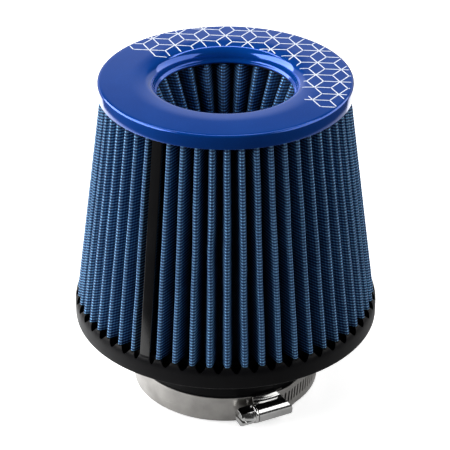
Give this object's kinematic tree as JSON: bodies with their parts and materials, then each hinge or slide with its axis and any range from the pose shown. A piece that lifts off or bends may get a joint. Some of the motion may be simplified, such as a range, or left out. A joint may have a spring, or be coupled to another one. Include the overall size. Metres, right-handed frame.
{
  "type": "cone air filter",
  "caption": "Cone air filter with a pleated outer wall, an inverted pleated cone inside, a painted top ring and a rubber base whose neck is held on a pipe by a worm-drive clamp.",
  "frame": {"origin": "centre of the neck's open end, on the plane that the filter stands on", "axes": "+Z along the filter's axis from the neck to the top ring; -Y is the side that the picture shows"},
  "size_m": [0.144, 0.144, 0.1584],
  "materials": {
    "ring_paint": "satin anodised blue",
    "media_blue": "blue gauze under an open woven wire net",
    "rubber_black": "moulded polyurethane, slight sheen",
    "strip_black": "glossy",
    "steel_strap": "rolled stainless",
    "steel_bright": "bright zinc or stainless"
  },
  "bodies": {
    "filter": {"top_ring": "ring_paint", "top_potting": "rubber_black", "outer_media": "media_blue", "inner_media": "media_blue", "inner_end_cap": "rubber_black", "seam_strip": "strip_black", "base": "rubber_black", "clamp_band": "steel_strap", "clamp_housing": "steel_bright", "clamp_saddle": "steel_strap"},
    "clamp_screw": {"clamp_screw": "steel_bright"}
  },
  "joints": [
    {"name": "screw_turn", "type": "hinge", "parent": "filter", "child": "clamp_screw", "pos_m": [0.02171, -0.04354, 0.00725], "axis": [0.8949, 0.4462, 0], "continuous": true}
  ]
}
